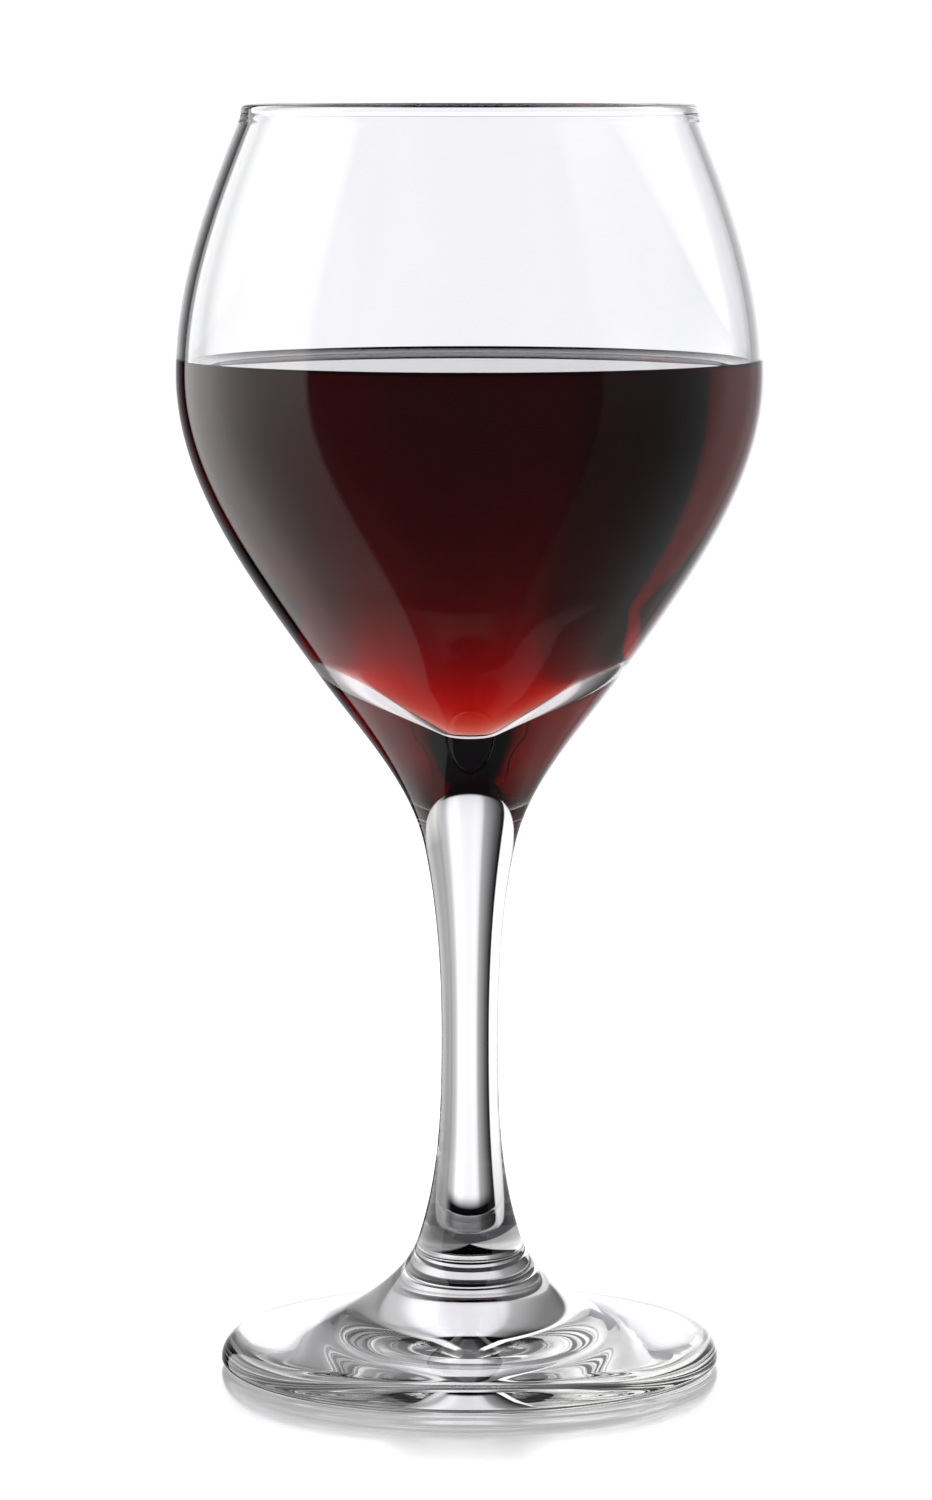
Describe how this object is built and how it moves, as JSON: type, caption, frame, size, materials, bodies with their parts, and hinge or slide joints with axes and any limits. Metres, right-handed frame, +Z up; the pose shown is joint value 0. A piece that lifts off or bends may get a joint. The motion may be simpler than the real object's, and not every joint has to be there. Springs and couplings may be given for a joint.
{
  "type": "glass of red wine",
  "caption": "Clear stemmed glass with a rounded bowl, slim stem and round foot, half filled with red wine.",
  "frame": {"origin": "centre of the ring that the foot stands on, at table height", "axes": "+Z up the stem and bowl, the axis they are turned about; X and Y are alike"},
  "size_m": [0.092, 0.092, 0.1992],
  "materials": {
    "clear_glass": "clear soda-lime glass, fire-polished",
    "red_wine": "clear deep red wine, still liquid"
  },
  "bodies": {
    "root": {"wine_glass": "clear_glass", "red_wine": "red_wine"}
  },
  "joints": []
}
